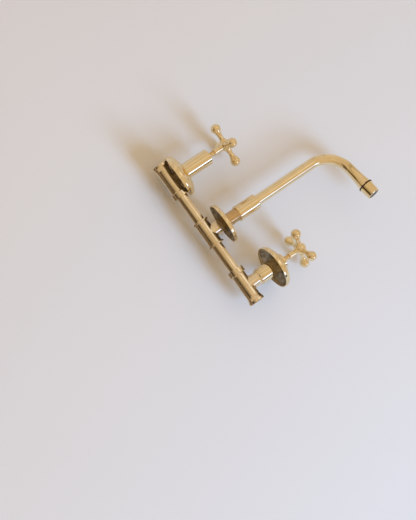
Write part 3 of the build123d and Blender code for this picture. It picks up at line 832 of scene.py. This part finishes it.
@dataclass
class Spout:
    """The spout with its nipple, union and outlet."""

    workshop: Workshop
    nipple_r: float = 10.3 * MM
    thread_start: float = 33.4 * MM
    thread_length: float = 24.0 * MM
    nipple_thread: PipeThread = PipeThread(height=0.35 * MM)

    def cut_nipple(self, axis: Axis) -> None:
        """Puts the fine thread on the nipple, which runs from its collar to the union.

        Args:
            axis: the nipple's axis.
        """
        crests = self.nipple_thread
        thread = Ridge(
            "nipple_thread", axis, self.nipple_r, crests.height, crests.width,
            start=self.thread_start, length=self.thread_length, pitch=crests.pitch,
        ).build()
        self.workshop.dress(["nipple_thread"], BROWN, axis)
        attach(thread, "wall_body")

    def build(self) -> None:
        """Dresses the spout and threads its nipple."""
        axis = Axis(Lay.ALONG_BRANCH)
        shop = self.workshop
        shop.dress(["spout_nipple"], BROWN, axis)
        self.cut_nipple(axis)
        shop.dress(["union_sleeve", "spout_tube", "outlet_housing"], POLISHED, axis)
        shop.dress(["spout_tail"], MACHINED, axis)
        shop.dress(["tail_seals", "outlet_ring"], RUBBER, axis)
        shop.dress(["thrust_washer", "aerator_insert"], PLASTIC, axis)


@dataclass
class WallFlange:
    """A flange that covers a hole in the wall: the middle of its hole, its lean and its finish."""

    workshop: Workshop
    node: str
    hole: Point
    lean: float
    finish: FlangeBrass

    def build(self) -> None:
        """Dresses the flange."""
        axis = Axis(Lay.ALONG_BRANCH, self.hole, math.radians(self.lean))
        self.workshop.dress([self.node], self.finish, axis)


@dataclass(frozen=True)
class Patch:
    """A soft-edged patch of the room: where it lies, its radius and blur in degrees, its colour."""

    way: Point
    reach: float
    blur: float
    colour: Colour

    def share(self, graph: Graph, way: Socket) -> Socket:
        """How much of the patch there is.

        Args:
            graph: the room's graph.
            way: the way that is looked.

        Returns:
            A share: 1 inside the patch and 0 outside it.
        """
        near = graph.vector("DOT_PRODUCT", way, tuple(Vector(self.way).normalized())).outputs["Value"]
        outer = math.cos(math.radians(self.reach + self.blur))
        inner = math.cos(math.radians(max(self.reach - self.blur, 0.0)))
        return graph.ease(near, outer, inner)


@dataclass(frozen=True)
class Beam:
    """A narrow beam across the room, seen as a line: its place along X, its width, its colour."""

    place: float
    width: float
    colour: Colour
    core: float = 0.4

    def share(self, graph: Graph, across: Socket) -> Socket:
        """How much of the beam there is.

        Args:
            graph: the room's graph.
            across: the X of the way that is looked.

        Returns:
            A share: 1 in the beam's core and 0 outside it.
        """
        off = graph.reckon("ABSOLUTE", graph.reckon("SUBTRACT", across, self.place))
        return graph.ease(off, self.core * self.width, self.width, 1.0, 0.0)


@dataclass
class Window:
    """The large window, as a lamp that lights the object and is left out of its reflections.

    The window that the polish reflects is a patch of the room, sharper and smaller than the lamp.
    """

    aim: Point
    way: Point = (-0.796, -0.143, 0.588)
    distance: float = 3.3
    size: Span = (1.0, 1.8)
    power: float = 89.0
    colour: Colour = (0.36, 0.62, 1.0)

    @property
    def foot(self) -> Point:
        """The place of the floor's pattern that lies below the lamp."""
        return (self.distance * self.way[0], self.distance * self.way[1], 0.0)

    def hang(self) -> None:
        """Hangs the lamp low to one side, turned to the object."""
        light = bpy.data.lights.new("window", "AREA")
        light.shape = "RECTANGLE"
        light.size, light.size_y = self.size
        light.energy = self.power
        light.color = self.colour
        lamp = bpy.data.objects.new("window", light)
        bpy.context.scene.collection.objects.link(lamp)
        way = Vector(self.way).normalized()
        lamp.location = Vector(self.aim) + way * self.distance
        lamp.visible_glossy = False
        lamp.rotation_mode = "QUATERNION"
        lamp.rotation_quaternion = (-way).to_track_quat("-Z", "Y")


@dataclass
class PaperFloor:
    """A sheet of matt paper under the object, darkened with painted shade near the foot of the lamp, where
    the lamp's pool of light falls.
    """

    z: float
    lamp_foot: Point
    size: float = 14.0
    paper: Colour = (0.83, 0.83, 0.83)
    drift_fineness: float = 1.6
    drift_span: Span = (0.3, 0.7)
    drift: float = 0.985
    # Painted shade near the foot of the lamp, which holds back its pool of light on the paper.
    painted_foot_span: Span = (0.3, 2.3)
    painted_foot_shade: float = 0.42

    def toned(self, factor: float) -> Colour:
        """The paper's colour, made darker by a factor."""
        return tuple(factor * channel for channel in self.paper)

    def lay(self) -> None:
        """Lays the paper."""
        bpy.ops.object.select_all(action="DESELECT")
        bpy.ops.mesh.primitive_plane_add(size=self.size, location=(0.0, 0.0, self.z))
        floor = bpy.context.object
        floor.name = "paper_floor"
        coat = Coat.start("matt_paper")
        graph = coat.graph
        drift = graph.ease(graph.noise(coat.vector, self.drift_fineness), *self.drift_span)
        tone = graph.blend(drift, self.paper, self.toned(self.drift))
        away = graph.vector("DISTANCE", coat.vector, self.lamp_foot).outputs["Value"]
        # Painted shade: the paper darkens towards the foot of the lamp, against its pool of light.
        tone = graph.blend(graph.ease(away, *self.painted_foot_span), self.toned(self.painted_foot_shade), tone)
        floor.data.materials.append(coat.matt(tone))
        floor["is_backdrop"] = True


@dataclass
class BrownCard:
    """A low card behind the body, seen only in reflections, which gives its far side an edge."""

    foot: float
    top: float = 0.006
    y: float = 0.042
    half: float = 0.15
    colour: Colour = (0.40, 0.29, 0.18)

    def stand(self) -> None:
        """Stands the card on the floor, out of the picture."""
        bpy.ops.object.select_all(action="DESELECT")
        bpy.ops.mesh.primitive_plane_add(size=1.0)
        card = bpy.context.object
        card.name = "brown_card"
        bpy.ops.transform.resize(value=(2 * self.half, self.top - self.foot, 1.0))
        bpy.ops.transform.rotate(value=math.pi / 2, orient_axis="X", center_override=ORIGIN)
        bpy.ops.transform.translate(value=(0.0, self.y, (self.foot + self.top) / 2))
        bpy.ops.object.transform_apply(location=True, rotation=True, scale=True)
        card.data.materials.append(Coat.start("brown_card").matt(self.colour))
        card.visible_camera = False
        card.visible_diffuse = False
        card.visible_shadow = False
        card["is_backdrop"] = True


@dataclass
class Room:
    """The softly patterned room round the object, which its polish reflects.

    A patch or beam covers those before it.
    """

    wall_low: Colour = (0.64, 0.46, 0.29)
    wall_high: Colour = (0.73, 0.55, 0.35)
    wall_span: Span = (0.05, 0.9)
    haze: Colour = (0.72, 0.62, 0.52)
    haze_span: Span = (0.0, 0.12)
    patches: tuple[Patch, ...] = (
        # The wall behind the body, the one past the cold valve, and the bright ceiling.
        Patch((0.0, 0.95, 0.30), 36.0, 24.0, (0.56, 0.42, 0.26)),
        Patch((0.85, -0.33, 0.40), 28.0, 18.0, (0.76, 0.61, 0.46)),
        Patch((0.0, -0.53, 0.85), 10.0, 4.0, (1.15, 1.05, 0.95)),
        # The window, and the dark recess below it.
        Patch((-0.887, -0.245, 0.390), 9.2, 1.0, (1.9, 2.35, 3.7)),
        Patch((-0.940, -0.330, 0.125), 6.5, 0.7, (0.03, 0.02, 0.012)),
        # A dim strip from high up to the floor, which darkens the body's far side.
        Patch((-0.03, 0.68, 0.73), 9.0, 6.0, (0.36, 0.25, 0.15)),
        Patch((-0.03, 0.84, 0.54), 9.0, 4.0, (0.18, 0.12, 0.07)),
        Patch((-0.03, 0.95, 0.31), 10.0, 4.0, (0.15, 0.10, 0.05)),
        Patch((-0.03, 0.99, 0.10), 8.0, 3.0, (0.15, 0.10, 0.05)),
        # A near-black opening, which draws the dark line along the outlet.
        Patch((0.19, 0.955, 0.23), 13.0, 1.0, (0.012, 0.007, 0.003)),
    )
    beams: tuple[Beam, ...] = (
        Beam(0.875, 0.014, (0.10, 0.07, 0.04)),
        Beam(0.75, 0.014, (0.10, 0.07, 0.04)),
        Beam(0.365, 0.024, (0.40, 0.28, 0.15)),
        Beam(0.15, 0.018, (0.44, 0.31, 0.17)),
        Beam(-0.20, 0.030, (0.92, 0.72, 0.52)),
        Beam(-0.40, 0.022, (0.45, 0.32, 0.18)),
    )

    def fill(self) -> None:
        """Surrounds the object with the room."""
        world = bpy.data.worlds.new("room")
        bpy.context.scene.world = world
        world.use_nodes = True
        world.node_tree.nodes.clear()
        graph = Graph(world.node_tree)
        way = graph.add("ShaderNodeTexCoord").outputs["Generated"]
        split = graph.put(graph.add("ShaderNodeSeparateXYZ"), Vector=way)
        across, height = split.outputs["X"], split.outputs["Z"]
        room = graph.blend(graph.ease(height, *self.wall_span), self.wall_low, self.wall_high)
        room = graph.blend(graph.ease(height, *self.haze_span), self.haze, room)
        for patch in self.patches:
            room = graph.blend(patch.share(graph, way), room, patch.colour)
        for beam in self.beams:
            room = graph.blend(beam.share(graph, across), room, beam.colour)
        shade = graph.put(graph.add("ShaderNodeBackground"), Color=room, Strength=1.0)
        graph.put(graph.add("ShaderNodeOutputWorld"), Surface=shade.outputs[0])


@dataclass
class Camera:
    """The camera: where it aims and how far off it stands, with its angles in degrees."""

    aim: Point
    distance: float = 3.4437
    azimuth: float = 192.94
    elevation: float = 70.49
    roll: float = 42.107
    lens: float = 152.308
    far_end: float = 50.0

    def set_up(self) -> None:
        """Sets the camera where the photographer stood."""
        data = bpy.data.cameras.new("camera")
        data.lens = self.lens
        data.clip_end = self.far_end
        camera = bpy.data.objects.new("camera", data)
        bpy.context.scene.collection.objects.link(camera)
        turn, rise = math.radians(self.azimuth), math.radians(self.elevation)
        back = Vector((math.sin(turn) * math.cos(rise), -math.cos(turn) * math.cos(rise), math.sin(rise)))
        camera.location = Vector(self.aim) + back * self.distance
        camera.rotation_mode = "QUATERNION"
        level = (-back).to_track_quat("-Z", "Y")
        camera.rotation_quaternion = Quaternion(back, math.radians(self.roll)) @ level
        bpy.context.scene.camera = camera


@dataclass
class Studio:
    """The floor, the card, the daylight, the room and the camera."""

    floor_z: float
    aim: Point = (-0.0344, 0.0261, 0.0)

    def build(self) -> None:
        """Sets up the studio."""
        window = Window(self.aim)
        PaperFloor(self.floor_z, window.foot).lay()
        BrownCard(self.floor_z).stand()
        window.hang()
        Room().fill()
        Camera(self.aim).set_up()
        bpy.context.scene.view_settings.view_transform = "Standard"


def corners() -> list[list[float]]:
    """The lowest and highest corner of the shown object."""
    return [list(corner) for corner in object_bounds()]


def flanges(workshop: Workshop) -> list[WallFlange]:
    """The three flanges, each where it lies in its CAD node.

    Args:
        workshop: the workshop that dresses them.

    Returns:
        The flanges, still to be built.
    """
    return [
        WallFlange(
            workshop, "hot_flange", hole=(Side.HOT.x, -68.7 * MM, -0.9 * MM), lean=0.0, finish=VALVE_FLANGE
        ),
        WallFlange(
            workshop, "cold_flange", hole=(Side.COLD.x, -29.8 * MM, 0.0), lean=17.5, finish=VALVE_FLANGE
        ),
        WallFlange(
            workshop, "spout_flange", hole=(0.0, -38.9 * MM, -0.8 * MM), lean=9.5, finish=SPOUT_FLANGE
        ),
    ]


def main() -> None:
    """Builds the pieces in order, then the studio."""
    logging.basicConfig(level=logging.INFO, format="%(message)s")
    cad = corners()
    floor_gap = 0.1 * MM
    workshop = Workshop()
    InWallBody(workshop).build()
    for side in Side:
        Valve(workshop, side).build()
    Spout(workshop).build()
    for flange in flanges(workshop):
        flange.build()
    Studio(floor_z=cad[0][2] - floor_gap).build()


if __name__ == "__main__":
    main()
